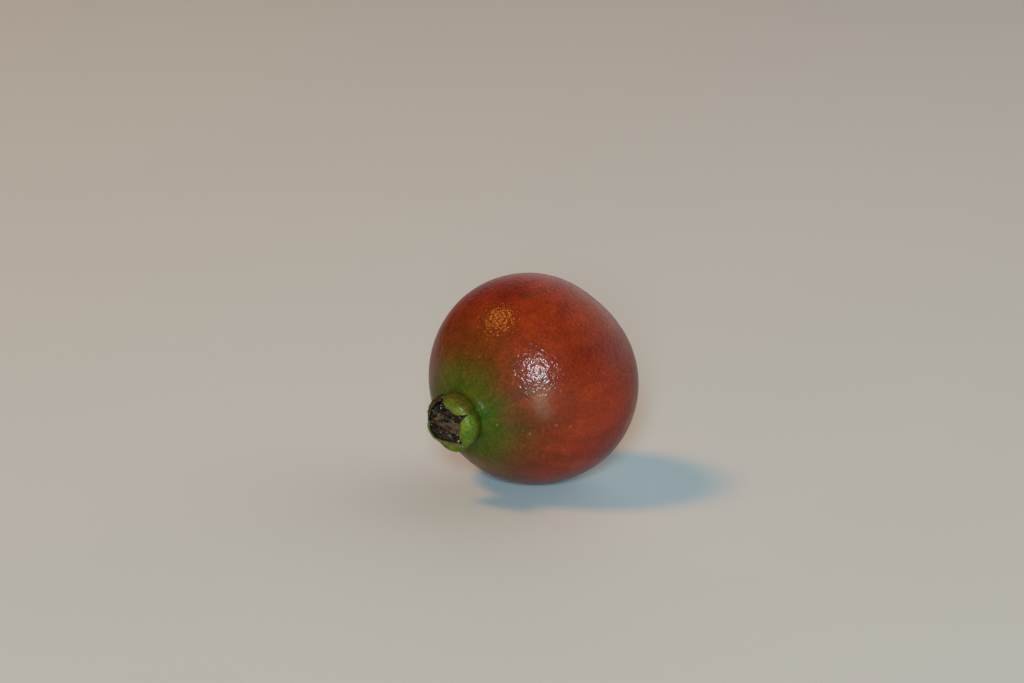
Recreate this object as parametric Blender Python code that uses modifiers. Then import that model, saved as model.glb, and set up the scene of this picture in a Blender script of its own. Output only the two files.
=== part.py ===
# Strawberry guava: one ripe fruit lying on its side, with the dried flower held in its calyx crown.
#
# The fruit grew as one piece: round body, short neck and a crown of five fleshy calyx lobes.
# Both pieces are shaped about the fruit's own axis, crown up, and then laid down together, so
# that the crown looks along -Y and droops a little. The origin is the middle of the resting spot.
# Ring angles are clock angles in degrees: clockwise from the top, as seen from the crown's front.
# Heights are along the axis, from the middle of the body towards the crown.

import math
import random

import bmesh
import bpy
from mathutils import Matrix, Vector, noise

# Body, in metres and degrees
EQUATOR_RADIUS = 0.0155
CROWN_END_HEIGHT = 0.0145
STEM_END_HEIGHT = 0.0142
AXIS_DROOP = 10.0
RESTING_FLAT_DEPTH = 0.00022

# Gentle swells and flats of the body: where on the clock, how far round from the crown, how
# high, and how far they spread
SWELLS = (
    {"clock": 29.0, "polar": 134.0, "height": -0.00040, "spread": 24.0},
    {"clock": 100.0, "polar": 120.0, "height": 0.00030, "spread": 34.0},
    {"clock": 165.0, "polar": 76.0, "height": -0.00025, "spread": 32.0},
    {"clock": 250.0, "polar": 115.0, "height": 0.00015, "spread": 38.0},
)

# Stem scar, in a dimple at the end away from the crown
DIMPLE_RADIUS = 0.0040
DIMPLE_DEPTH = 0.0005
SCAR_RADIUS = 0.0013
SCAR_RIM_WIDTH = 0.0004
SCAR_RIM_HEIGHT = 0.00035
SCAR_PIT_RADIUS = 0.0008
SCAR_PIT_DEPTH = 0.0004

# Neck and crown wall
NECK_RADIUS = 0.00375
NECK_FILLET = 0.0015
TUBE_START_HEIGHT = 0.0151
SHOULDER_RADIUS = 0.0042
SHOULDER_HEIGHT = 0.0166
WALL_THICKNESS = 0.0008
EDGE_THICKNESS = 0.0006
EDGE_ROUNDING = 0.0002
CUP_FLOOR_HEIGHT = 0.0156
CROWN_LEAN = 0.03
CROWN_LEAN_CLOCK = 315.0
CROWN_LEAN_START = 0.0140

# Calyx lobes: where each begins on the clock and how wide it is, how much wall is left in the
# notch at its start, its length past the shoulder, the radius that it curls inwards on, and how
# far its fleshy back is puffed up. The first two close over the cup; the others stand open.
LOBES = (
    {"start": 343.0, "span": 78.0, "notch": 0.0005, "length": 0.0029, "curl": 0.0014, "puff": 0.00030},
    {"start": 61.0, "span": 84.0, "notch": 0.0004, "length": 0.0028, "curl": 0.0015, "puff": 0.00035},
    {"start": 145.0, "span": 72.0, "notch": 0.0005, "length": 0.0021, "curl": 0.0016, "puff": 0.00015},
    {"start": 217.0, "span": 48.0, "notch": 0.0013, "length": 0.0020, "curl": 0.0040, "puff": 0.00010},
    {"start": 265.0, "span": 78.0, "notch": 0.0008, "length": 0.0018, "curl": 0.0020, "puff": 0.00010},
)
LOBE_SQUARENESS = 2.3
GROOVE_DEPTH = 0.00018
GROOVE_HALF_WIDTH = 7.0

# Dried flower: a crumbly disc, hollow in its middle; its outline on top is given as pairs of
# share of the disc's radius and depth below its top
DISC_RADIUS = 0.0028
DISC_BOTTOM = 0.0160
DISC_TOP = 0.0167
DISC_EDGE_BEVEL = 0.0002
DISC_TOP_OUTLINE = ((0.0, 0.0003), (0.25, 0.0003), (0.46, 0.0001), (0.68, 0.0), (0.86, 0.0001))
DISC_LUMP_HEIGHT = 0.00012
DISC_LUMP_SIZE = 0.0007

# Matted stamens; those under the two closing lobes lie lower than the rest
STAMEN_COUNT = 24
STAMEN_SEED = 11
STAMEN_RADIUS = 0.00024
STAMEN_ROOT_RADIUS = 0.0022
STAMEN_ROOT_HEIGHT = 0.0163
STAMEN_TIP_RADII = (0.0005, 0.0013)
STAMEN_TIP_HEIGHTS = (0.0170, 0.0173)
STAMEN_DRIFT = 35.0
STAMEN_CLOCK_JITTER = 5.0
STAMEN_RISE_BEFORE_BEND = 0.0002
STAMEN_BEND_INWARDS = 0.0004
STAMEN_TIP_SHARE = 0.8
COVERED_START = 343.0
COVERED_SPAN = 162.0
COVERED_RISE = 0.0002
OPEN_RISE = 0.0005

# The stub of the style, and two papery straps that lie across the disc from end to end, each
# end at a radius and a clock angle
STYLE_RADIUS = 0.0004
STYLE_TIP_SHARE = 0.75
STYLE_POINTS = ((0.0, 0.0, 0.0163), (0.0001, 0.0, 0.0170), (0.0003, 0.0001, 0.0177))
STRAP_THICKNESS = 0.0006
STRAP_END_HEIGHT = 0.0168
STRAPS = (
    {"ends": ((0.0012, 275.0), (0.0022, 151.0)), "width": 0.0011, "arch": 0.0005},
    {"ends": ((0.0025, 268.0), (0.0014, 321.0)), "width": 0.0008, "arch": 0.0003},
)

# Facets: steps round the axis, and rings of points along each stretch of the outline
RING_STEPS = 60
FIRST_COLUMN_CLOCK = 1.0
DISC_STEPS = 24
STEM_END_RINGS = 9
STEM_END_CROWDING = 1.25
BODY_RINGS = 22
FILLET_RINGS = 3
TUBE_RINGS = 3
CUP_RINGS = 2
LOBE_RINGS = 6
STRAP_CUTS = 4
MERGE_DISTANCE = 0.00001


def clear_scene():
    for thing in list(bpy.data.objects):
        bpy.data.objects.remove(thing, do_unlink=True)


def new_collection(name):
    collection = bpy.data.collections.new(name)
    bpy.context.scene.collection.children.link(collection)
    return collection


def make_material(name, colour, roughness):
    material = bpy.data.materials.new(name)
    material.use_nodes = True
    shader = material.node_tree.nodes["Principled BSDF"]
    shader.inputs["Base Color"].default_value = (*colour, 1.0)
    shader.inputs["Roughness"].default_value = roughness
    shader.inputs["Metallic"].default_value = 0.0
    return material


def ring_point(radius, clock, height):
    """A point about the fruit's axis; from the neck upwards the crown leans a little."""
    angle = math.radians(clock)
    lean_angle = math.radians(CROWN_LEAN_CLOCK)
    lean = CROWN_LEAN * max(0.0, height - CROWN_LEAN_START)
    along = radius * math.cos(angle) + lean * math.cos(lean_angle)
    across = -radius * math.sin(angle) - lean * math.sin(lean_angle)
    return Vector((along, across, height))


# The fruit's outline in one half-plane through its axis, as (radius, height) pairs

def stem_end_outline():
    """From the rim of the dimple to the middle of the scar; the rings crowd towards the scar."""
    outline = []
    for step in range(STEM_END_RINGS, -1, -1):
        radius = DIMPLE_RADIUS * (step / STEM_END_RINGS) ** STEM_END_CROWDING
        body = -STEM_END_HEIGHT * math.sqrt(1.0 - (radius / EQUATOR_RADIUS) ** 2)
        dimple = DIMPLE_DEPTH * (1.0 - (radius / DIMPLE_RADIUS) ** 2) ** 2
        rim = SCAR_RIM_HEIGHT * math.exp(-((radius - SCAR_RADIUS) / SCAR_RIM_WIDTH) ** 2)
        pit = SCAR_PIT_DEPTH * math.exp(-(radius / SCAR_PIT_RADIUS) ** 2)
        outline.append((radius, body + dimple - rim + pit))
    return outline


def swell_at(clock, polar):
    """How far the body swells out at a clock angle and an angle round from the crown."""
    total = 0.0
    for swell in SWELLS:
        middle = math.radians(swell["polar"])
        across = math.cos(math.radians(clock - swell["clock"]))
        near = math.cos(polar) * math.cos(middle) + math.sin(polar) * math.sin(middle) * across
        away = math.degrees(math.acos(max(-1.0, min(1.0, near))))
        total += swell["height"] * math.exp(-(away / swell["spread"]) ** 2)
    return total


def body_outline(clock):
    """From the neck's fillet, over the equator, to the rim of the dimple."""
    first = math.degrees(math.asin((NECK_RADIUS + NECK_FILLET) / EQUATOR_RADIUS))
    last = 180.0 - math.degrees(math.asin(DIMPLE_RADIUS / EQUATOR_RADIUS))
    outline = []
    for step in range(BODY_RINGS):
        polar = math.radians(first + (last - first) * step / BODY_RINGS)
        end_height = CROWN_END_HEIGHT if polar < math.pi / 2.0 else STEM_END_HEIGHT
        fade = math.sqrt(math.sin(math.pi * step / BODY_RINGS))
        swell = swell_at(clock, polar) * fade
        outline.append(((EQUATOR_RADIUS + swell) * math.sin(polar), (end_height + swell) * math.cos(polar)))
    return outline


def fillet_outline():
    """A smooth hollow from the bottom of the tube out to the body."""
    outer_radius = NECK_RADIUS + NECK_FILLET
    share = outer_radius / EQUATOR_RADIUS
    outer_height = CROWN_END_HEIGHT * math.sqrt(1.0 - share ** 2)
    slope = CROWN_END_HEIGHT * share / (EQUATOR_RADIUS * math.sqrt(1.0 - share ** 2))
    start = Vector((NECK_RADIUS, TUBE_START_HEIGHT))
    corner = Vector((NECK_RADIUS, outer_height + slope * NECK_FILLET))
    end = Vector((outer_radius, outer_height))
    outline = []
    for step in range(1, FILLET_RINGS + 1):
        blend = step / (FILLET_RINGS + 1)
        near = start.lerp(corner, blend)
        far = corner.lerp(end, blend)
        outline.append(tuple(near.lerp(far, blend)))
    return outline


def lobe_at(clock):
    """The lobe at a clock angle, how far across it that is, from -1 to 1, and its free length."""
    for number, lobe in enumerate(LOBES):
        turn = (clock - lobe["start"]) % 360.0
        if turn < lobe["span"]:
            across = 2.0 * turn / lobe["span"] - 1.0
            next_notch = LOBES[(number + 1) % len(LOBES)]["notch"]
            notch = lobe["notch"] + (next_notch - lobe["notch"]) * (across + 1.0) / 2.0
            hump = math.sqrt(1.0 - abs(across) ** LOBE_SQUARENESS)
            return lobe, across, notch + (lobe["length"] - notch) * hump
    raise ValueError("the lobes leave a gap in the ring")


def groove_at(clock):
    """A shallow groove runs down the tube below each notch."""
    nearest = min(abs((clock - lobe["start"] + 180.0) % 360.0 - 180.0) for lobe in LOBES)
    return GROOVE_DEPTH * math.exp(-(nearest / GROOVE_HALF_WIDTH) ** 2)


def wall_outline(clock):
    """Up the inside of the cup, over the free edge of a lobe, and down to the tube's foot."""
    lobe, across, reach = lobe_at(clock)
    groove = groove_at(clock)
    outside, inside = [], []

    for step in range(TUBE_RINGS):
        share = step / TUBE_RINGS
        height = TUBE_START_HEIGHT + (SHOULDER_HEIGHT - TUBE_START_HEIGHT) * share
        radius = SHOULDER_RADIUS - (SHOULDER_RADIUS - NECK_RADIUS) * (1.0 - share) ** 2
        outside.append((radius - groove, height))

    for step in range(CUP_RINGS):
        height = CUP_FLOOR_HEIGHT + (SHOULDER_HEIGHT - CUP_FLOOR_HEIGHT) * step / CUP_RINGS
        inside.append((SHOULDER_RADIUS - WALL_THICKNESS, height))

    for step in range(LOBE_RINGS + 1):
        run = reach * step / LOBE_RINGS
        bend = run / lobe["curl"]
        radius = SHOULDER_RADIUS - lobe["curl"] * (1.0 - math.cos(bend))
        height = SHOULDER_HEIGHT + lobe["curl"] * math.sin(bend)
        puff = lobe["puff"] * (1.0 - across ** 2) * math.sin(math.pi * run / lobe["length"])
        out = puff - groove * (1.0 - step / LOBE_RINGS)
        thick = WALL_THICKNESS + (EDGE_THICKNESS - WALL_THICKNESS) * run / lobe["length"]
        outside.append((radius + out * math.cos(bend), height + out * math.sin(bend)))
        inside.append((radius - thick * math.cos(bend), height - thick * math.sin(bend)))

    edge_radius = (outside[-1][0] + inside[-1][0]) / 2.0 - EDGE_ROUNDING * math.sin(bend)
    edge_height = (outside[-1][1] + inside[-1][1]) / 2.0 + EDGE_ROUNDING * math.cos(bend)
    return inside + [(edge_radius, edge_height)] + outside[::-1]


def fruit_outline(clock):
    """The whole outline: cup floor, crown wall, fillet, body and stem scar."""
    floor_radius = SHOULDER_RADIUS - WALL_THICKNESS
    cup_floor = [(0.0, CUP_FLOOR_HEIGHT), (floor_radius / 2.0, CUP_FLOOR_HEIGHT)]
    body = body_outline(clock) + stem_end_outline()
    return cup_floor + wall_outline(clock) + fillet_outline() + body


# Turning, fusing and laying down

def applied_mesh(thing, name):
    """A mesh of the object as its modifiers leave it."""
    graph = bpy.context.evaluated_depsgraph_get()
    graph.update()
    mesh = bpy.data.meshes.new_from_object(thing.evaluated_get(graph))
    mesh.name = name
    return mesh


def turned_mesh(name, outline, steps):
    """Turn a half outline, listed from its top end to its bottom end, about the Z axis.

    Each point keeps its place in the outline as the attribute "station".
    """
    mesh = bpy.data.meshes.new(name + "_outline")
    points = [(radius, 0.0, height) for radius, height in outline]
    edges = [(index, index + 1) for index in range(len(points) - 1)]
    mesh.from_pydata(points, edges, [])
    station = mesh.attributes.new("station", "INT", "POINT")
    for index in range(len(points)):
        station.data[index].value = index
    half = bpy.data.objects.new(name + "_outline", mesh)
    bpy.context.scene.collection.objects.link(half)
    screw = half.modifiers.new("turn", "SCREW")
    screw.axis = "Z"
    screw.angle = math.radians(360.0)
    screw.steps = steps
    screw.render_steps = steps
    screw.use_merge_vertices = False
    turned = applied_mesh(half, name)
    bpy.data.objects.remove(half, do_unlink=True)
    bpy.data.meshes.remove(mesh)
    return turned


def weld(form):
    """Close the poles and seams, and turn every face outwards."""
    bmesh.ops.remove_doubles(form, verts=form.verts, dist=MERGE_DISTANCE)
    bmesh.ops.recalc_face_normals(form, faces=form.faces)


def shape_ring_by_ring(mesh):
    """Move each turned point to the fruit's own outline at its clock angle."""
    station = mesh.attributes["station"]
    step_angle = 360.0 / RING_STEPS
    outlines = [fruit_outline(FIRST_COLUMN_CLOCK + column * step_angle) for column in range(RING_STEPS)]
    for vertex in mesh.vertices:
        turn = -math.degrees(math.atan2(vertex.co.y, vertex.co.x)) % 360.0
        column = round(turn / step_angle) % RING_STEPS
        radius, height = outlines[column][station.data[vertex.index].value]
        vertex.co = ring_point(radius, FIRST_COLUMN_CLOCK + column * step_angle, height)
    mesh.attributes.remove(station)


def make_fruit(collection, material):
    """The fruit about its own axis, with its flat spot cut; also gives the flat spot's middle."""
    mesh = turned_mesh("fruit", fruit_outline(FIRST_COLUMN_CLOCK), RING_STEPS)
    shape_ring_by_ring(mesh)
    droop = math.radians(AXIS_DROOP)
    down = Vector((-math.cos(droop), 0.0, math.sin(droop)))
    lowest = max(vertex.co.dot(down) for vertex in mesh.vertices)
    form = bmesh.new()
    form.from_mesh(mesh)
    weld(form)
    geometry = form.verts[:] + form.edges[:] + form.faces[:]
    cut = bmesh.ops.bisect_plane(
        form, geom=geometry, dist=MERGE_DISTANCE, plane_co=down * (lowest - RESTING_FLAT_DEPTH),
        plane_no=down, clear_outer=True)
    rim = [item for item in cut["geom_cut"] if isinstance(item, bmesh.types.BMEdge)]
    flat = bmesh.ops.contextual_create(form, geom=rim)["faces"][0]
    for vertex in flat.verts:
        vertex.co += down * (lowest - RESTING_FLAT_DEPTH - vertex.co.dot(down))
    bmesh.ops.recalc_face_normals(form, faces=form.faces)
    flat_middle = flat.calc_center_median_weighted()
    form.to_mesh(mesh)
    form.free()

    fruit = bpy.data.objects.new("fruit", mesh)
    collection.objects.link(fruit)
    mesh.materials.append(material)
    mesh.shade_smooth()
    mesh.set_sharp_from_angle(angle=math.radians(50.0))
    return fruit, flat_middle


def make_disc(collection):
    """The crumbly disc that fills the bottom of the cup."""
    outline = [(share * DISC_RADIUS, DISC_TOP - depth) for share, depth in DISC_TOP_OUTLINE]
    outline.append((DISC_RADIUS, DISC_BOTTOM + DISC_EDGE_BEVEL))
    outline.append((DISC_RADIUS - DISC_EDGE_BEVEL, DISC_BOTTOM))
    outline.append((0.0, DISC_BOTTOM))
    mesh = turned_mesh("dried_flower", outline, DISC_STEPS)
    mesh.attributes.remove(mesh.attributes["station"])
    form = bmesh.new()
    form.from_mesh(mesh)
    weld(form)
    for vertex in form.verts:
        if vertex.co.z > DISC_BOTTOM + DISC_EDGE_BEVEL / 2.0:
            vertex.co.z += DISC_LUMP_HEIGHT * noise.noise(vertex.co / DISC_LUMP_SIZE)
    form.to_mesh(mesh)
    form.free()
    disc = bpy.data.objects.new("dried_flower", mesh)
    collection.objects.link(disc)
    return disc


def make_thread(name, points, radius, tip_share, collection):
    """A round tapering thread with closed ends along a few points."""
    curve = bpy.data.curves.new(name, "CURVE")
    curve.dimensions = "3D"
    curve.bevel_depth = radius
    curve.bevel_resolution = 1
    curve.use_fill_caps = True
    spline = curve.splines.new("POLY")
    spline.points.add(len(points) - 1)
    for index, point in enumerate(points):
        spline.points[index].co = (*point, 1.0)
        spline.points[index].radius = 1.0 + (tip_share - 1.0) * index / (len(points) - 1)
    guide = bpy.data.objects.new(name, curve)
    bpy.context.scene.collection.objects.link(guide)
    mesh = applied_mesh(guide, name)
    bpy.data.objects.remove(guide, do_unlink=True)
    form = bmesh.new()
    form.from_mesh(mesh)
    weld(form)
    form.to_mesh(mesh)
    form.free()
    collection.objects.link(bpy.data.objects.new(name, mesh))


def make_stamens(collection):
    """Dried stamens rise from the rim of the disc and lie curled in over it."""
    draw = random.Random(STAMEN_SEED)
    for number in range(STAMEN_COUNT):
        clock = 360.0 * number / STAMEN_COUNT
        clock += draw.uniform(-STAMEN_CLOCK_JITTER, STAMEN_CLOCK_JITTER)
        drift = draw.uniform(-STAMEN_DRIFT, STAMEN_DRIFT)
        covered = (clock - COVERED_START) % 360.0 < COVERED_SPAN
        rise = COVERED_RISE if covered else OPEN_RISE
        tip_radius = draw.uniform(*STAMEN_TIP_RADII)
        tip_height = draw.uniform(*STAMEN_TIP_HEIGHTS) + rise
        knee_height = STAMEN_ROOT_HEIGHT + STAMEN_RISE_BEFORE_BEND + rise
        bend_radius = STAMEN_ROOT_RADIUS - STAMEN_BEND_INWARDS
        middle_radius = (STAMEN_ROOT_RADIUS + tip_radius) / 2.0
        points = [
            ring_point(STAMEN_ROOT_RADIUS, clock, STAMEN_ROOT_HEIGHT),
            ring_point(STAMEN_ROOT_RADIUS, clock, knee_height),
            ring_point(bend_radius, clock + 0.35 * drift, DISC_TOP + rise),
            ring_point(middle_radius, clock + 0.7 * drift, tip_height - 0.0001),
            ring_point(tip_radius, clock + drift, tip_height),
        ]
        make_thread("stamen_%02d" % number, points, STAMEN_RADIUS, STAMEN_TIP_SHARE, collection)


def make_style(collection):
    """The stub of the style, leaning a little, in the middle of the disc."""
    make_thread("style", STYLE_POINTS, STYLE_RADIUS, STYLE_TIP_SHARE, collection)


def make_strap(name, strap, collection):
    """A papery strap lying over the disc, arched up in its middle, with both ends sunk in."""
    start, end = (ring_point(radius, clock, STRAP_END_HEIGHT) for radius, clock in strap["ends"])
    along = end - start
    form = bmesh.new()
    bmesh.ops.create_cube(form, size=1.0)
    lengthways = [edge for edge in form.edges if abs(edge.verts[0].co.x - edge.verts[1].co.x) > 0.5]
    bmesh.ops.subdivide_edges(form, edges=lengthways, cuts=STRAP_CUTS, use_grid_fill=True)
    for vertex in form.verts:
        share = 2.0 * vertex.co.x
        lift = strap["arch"] * (1.0 - share ** 2) + STRAP_THICKNESS * (1.0 - share ** 4) / 2.0
        vertex.co.x *= along.length
        vertex.co.y *= strap["width"]
        vertex.co.z = vertex.co.z * STRAP_THICKNESS + lift
    heading = Matrix.Rotation(math.atan2(along.y, along.x), 4, "Z")
    place = Matrix.Translation((start + end) / 2.0) @ heading
    bmesh.ops.transform(form, matrix=place, verts=form.verts)
    bmesh.ops.recalc_face_normals(form, faces=form.faces)
    mesh = bpy.data.meshes.new(name)
    form.to_mesh(mesh)
    form.free()
    collection.objects.link(bpy.data.objects.new(name, mesh))


def shell_of(first_face):
    """All faces that hang together with one face."""
    shell = {first_face}
    waiting = [first_face]
    while waiting:
        for edge in waiting.pop().edges:
            for face in edge.link_faces:
                if face not in shell:
                    shell.add(face)
                    waiting.append(face)
    return shell


def keep_outer_shell(mesh):
    """Drop the sealed hollows and loose scraps that a union leaves beside its outer skin."""
    form = bmesh.new()
    form.from_mesh(mesh)
    shells = []
    left = set(form.faces)
    while left:
        shell = shell_of(next(iter(left)))
        shells.append(shell)
        left -= shell
    outer = max(shells, key=len)
    scraps = [face for face in form.faces if face not in outer]
    bmesh.ops.delete(form, geom=scraps, context="FACES")
    form.to_mesh(mesh)
    form.free()


def fused(base, repeats, collection):
    """Join a collection of closed pieces to the base in one union, and remove them."""
    union = base.modifiers.new("union", "BOOLEAN")
    union.operation = "UNION"
    union.operand_type = "COLLECTION"
    union.collection = repeats
    union.solver = "EXACT"
    name = base.name
    mesh = applied_mesh(base, name)
    keep_outer_shell(mesh)
    for piece in list(repeats.objects):
        bpy.data.objects.remove(piece, do_unlink=True)
    bpy.data.collections.remove(repeats)
    bpy.data.objects.remove(base, do_unlink=True)
    thing = bpy.data.objects.new(name, mesh)
    collection.objects.link(thing)
    return thing


def make_dried_flower(collection, material):
    """What is left of the flower, fused in one dry crumbly body that sits in the cup."""
    disc = make_disc(bpy.context.scene.collection)
    repeats = new_collection("flower repeats")
    make_stamens(repeats)
    make_style(repeats)
    for number, strap in enumerate(STRAPS):
        make_strap("strap_%d" % number, strap, repeats)
    flower = fused(disc, repeats, collection)
    flower.data.materials.clear()
    flower.data.materials.append(material)
    return flower


def lay_down(pieces, flat_middle, collection):
    """Lay the pieces on their side, with the middle of the flat spot at the origin."""
    droop = math.radians(AXIS_DROOP)
    turn = Matrix((
        (0.0, -1.0, 0.0),
        (-math.sin(droop), 0.0, -math.cos(droop)),
        (math.cos(droop), 0.0, -math.sin(droop)),
    ))
    rest = bpy.data.objects.new("lying_on_its_side", None)
    collection.objects.link(rest)
    rest.rotation_mode = "QUATERNION"
    rest.rotation_quaternion = turn.to_quaternion()
    rest.location = -(turn @ flat_middle)
    for piece in pieces:
        piece.parent = rest


def main():
    clear_scene()
    guava = new_collection("strawberry_guava")
    skin = make_material("skin", (0.32, 0.045, 0.012), 0.35)
    dry = make_material("dried_flower", (0.035, 0.022, 0.014), 0.85)
    fruit, flat_middle = make_fruit(guava, skin)
    flower = make_dried_flower(guava, dry)
    lay_down([fruit, flower], flat_middle, guava)


main()
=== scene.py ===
# Strawberry guava: the looks of one ripe red fruit that lies on its side.
# Every piece is shaped in millimetres about the fruit's own axis, crown up, and then laid down
# in metres. Clock angles are in degrees, clockwise from the top, seen from the crown's front.

import math
import random

import bmesh
import bpy
from mathutils import Matrix, Vector, geometry, noise


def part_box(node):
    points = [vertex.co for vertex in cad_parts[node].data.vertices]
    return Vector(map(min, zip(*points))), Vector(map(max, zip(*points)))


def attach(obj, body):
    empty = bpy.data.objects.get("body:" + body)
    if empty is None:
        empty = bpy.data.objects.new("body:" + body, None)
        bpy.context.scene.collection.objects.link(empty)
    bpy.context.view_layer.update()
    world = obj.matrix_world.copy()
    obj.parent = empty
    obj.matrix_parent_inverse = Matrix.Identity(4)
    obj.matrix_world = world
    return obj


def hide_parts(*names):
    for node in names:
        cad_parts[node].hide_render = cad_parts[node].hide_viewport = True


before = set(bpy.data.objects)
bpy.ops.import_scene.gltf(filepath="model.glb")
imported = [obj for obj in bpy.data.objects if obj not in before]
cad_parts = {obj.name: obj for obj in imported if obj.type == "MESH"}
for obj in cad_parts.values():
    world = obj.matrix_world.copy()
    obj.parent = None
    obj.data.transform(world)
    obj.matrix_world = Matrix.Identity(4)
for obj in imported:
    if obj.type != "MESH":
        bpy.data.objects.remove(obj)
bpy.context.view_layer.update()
print("frame loaded:", sorted(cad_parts))

bodyForm = {
    "equatorRadius": 15.5,
    "crownEndHeight": 14.5,
    "stemEndHeight": 14.2,
    "axisDroop": 10.0,    # degrees that the crown hangs below level
    "flatDepth": 0.22,    # depth of the flat spot that the fruit lies on
    "columns": 380,       # steps round the fruit
    "rings": 146,
    # swells and flats: clock angle, angle round from the crown, height, spread
    "swells": ((29.0, 134.0, -0.40, 24.0), (100.0, 120.0, 0.30, 34.0),
               (165.0, 76.0, -0.25, 32.0), (250.0, 115.0, 0.15, 38.0)),
    # uneven skin: size of its lumps and how high they stand
    "lumps": ((5.5, 0.050), (1.8, 0.018), (0.85, 0.008)),
    "flowRadius": 6.0,    # how close the streaks lie that run from the crown to the stem
    "flowStretch": 0.22,
}

stemScar = {
    "dimpleRadius": 4.0,
    "dimpleDepth": 0.5,
    "rimRadius": 1.3,
    "rimWidth": 0.4,
    "rimHeight": 0.35,
    "pitRadius": 0.8,
    "pitDepth": 0.4,
    "corkRadius": 1.9,
    "crumbSize": 0.45,
    "crumble": 0.09,      # how high the crumbs of the cork stand
    "rings": 26,
    "crowding": 1.25,     # above 1 the rings crowd towards the middle
}

crownForm = {
    "neckRadius": 3.75,
    "filletWidth": 1.5,
    "tubeFoot": 15.1,
    "shoulderRadius": 4.2,
    "shoulderHeight": 16.6,
    "wall": 0.8,
    "cupFloor": 15.6,
    "lean": 0.03,
    "leanClock": 315.0,
    "leanStart": 14.0,
    "squareness": 2.05,       # 2 gives rounded lobes, more gives square ones
    "edgeRoundness": 0.8,
    "grooveDepth": 0.32,      # the grooves between the lobes
    "grooveHalfWidth": 6.0,
    "raggedEdge": 0.09,       # how uneven the free edges are
    "crumbSize": 0.33,
    "crumble": 0.07,          # how high the crumbs of the cup's inner face stand
    "wrinkleFade": 1.5,       # height over which the wrinkles come in
    "smoothBelow": 0.03,      # the skin's soft lumps end where the wrinkles reach this depth
    "drySpread": (0.05, 0.5),    # share of a lobe's width where its dryness changes
    "greenBorder": 0.4,
    "tanBorder": 0.90,
    "floorRings": 4,
    "filletRings": 9,
    "tubeRings": 9,
    "cupRings": 5,
    "lobeRings": 22,
    "edgeRings": 4,
}

# calyx lobes in turn: clock angle of the start, width, wall left in the notch there, length past
# the shoulder, radius of the inward curl, puff of the back, thickness of the free edge, dryness at
# the start and at the end, where it turns green (0 at the tube's foot, 1 at the shoulder, 2 at the
# tip), tan of the free edge, depth of the wrinkles
lobeNames = ("start", "span", "notch", "length", "curl", "puff", "edge",
             "dryStart", "dryEnd", "greenFrom", "tan", "wrinkle")
calyxLobes = [dict(zip(lobeNames, values)) for values in (
    (350.0, 72.0, 0.10, 2.8, 1.4, 0.30, 0.45, 0.95, 0.0, 1.30, 0.80, 0.03),
    (62.0, 79.0, 0.00, 2.8, 1.5, 0.35, 0.45, 0.00, 0.0, 0.75, 0.10, 0.02),
    (141.0, 76.0, 0.00, 2.1, 1.6, 0.45, 0.40, 0.10, 0.3, 0.60, 0.80, 0.05),
    (217.0, 48.0, 1.60, 2.1, 4.0, 0.10, 0.36, 0.00, 0.2, 0.80, 0.10, 0.04),
    (265.0, 85.0, 1.20, 1.8, 2.0, 0.10, 0.20, 1.00, 1.0, 3.00, 0.15, 0.20),
)]


def ringPoint(radius, clock, height):    # the crown leans a little from the neck upwards
    angle, leanAngle = math.radians(clock), math.radians(crownForm["leanClock"])
    lean = crownForm["lean"] * max(0.0, height - crownForm["leanStart"])
    along = radius * math.cos(angle) + lean * math.cos(leanAngle)
    across = -radius * math.sin(angle) - lean * math.sin(leanAngle)
    return Vector((along, across, height))


def bodyPoint(clock, polar):    # on the smooth body, by its angle round from the crown
    angle = math.radians(polar)
    end = bodyForm["crownEndHeight"] if polar < 90.0 else bodyForm["stemEndHeight"]
    return ringPoint(bodyForm["equatorRadius"] * math.sin(angle), clock, end * math.cos(angle))


# Outlines run from the cup's floor over the wall, down the body and into the stem scar. Each
# point is a radius, a height, how far it is inside the cup and how near it is to a lobe's tip.

def swellAt(clock, polar):
    total = 0.0
    for swellClock, swellPolar, height, spread in bodyForm["swells"]:
        middle = math.radians(swellPolar)
        turn = math.cos(math.radians(clock - swellClock))
        near = math.cos(polar) * math.cos(middle) + math.sin(polar) * math.sin(middle) * turn
        away = math.degrees(math.acos(max(-1.0, min(1.0, near))))
        total += height * math.exp(-(away / spread) ** 2)
    return total


def bodyOutline(clock):
    equator, rings = bodyForm["equatorRadius"], bodyForm["rings"]
    first = math.asin((crownForm["neckRadius"] + crownForm["filletWidth"]) / equator)
    last = math.pi - math.asin(stemScar["dimpleRadius"] / equator)
    outline = []
    for step in range(rings):
        polar = first + (last - first) * step / rings
        end = bodyForm["crownEndHeight"] if polar < math.pi / 2.0 else bodyForm["stemEndHeight"]
        swell = swellAt(clock, polar) * math.sqrt(math.sin(math.pi * step / rings))
        radius, height = (equator + swell) * math.sin(polar), (end + swell) * math.cos(polar)
        outline.append((radius, height, 0.0, 0.0))
    return outline


def stemEndOutline():
    s, outline = stemScar, []
    for step in range(s["rings"], -1, -1):
        radius = s["dimpleRadius"] * (step / s["rings"]) ** s["crowding"]
        body = -bodyForm["stemEndHeight"] * math.sqrt(1.0 - (radius / bodyForm["equatorRadius"]) ** 2)
        dimple = s["dimpleDepth"] * (1.0 - (radius / s["dimpleRadius"]) ** 2) ** 2
        rim = s["rimHeight"] * math.exp(-((radius - s["rimRadius"]) / s["rimWidth"]) ** 2)
        pit = s["pitDepth"] * math.exp(-(radius / s["pitRadius"]) ** 2)
        outline.append((radius, body + dimple - rim + pit, 0.0, 0.0))
    return outline


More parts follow.
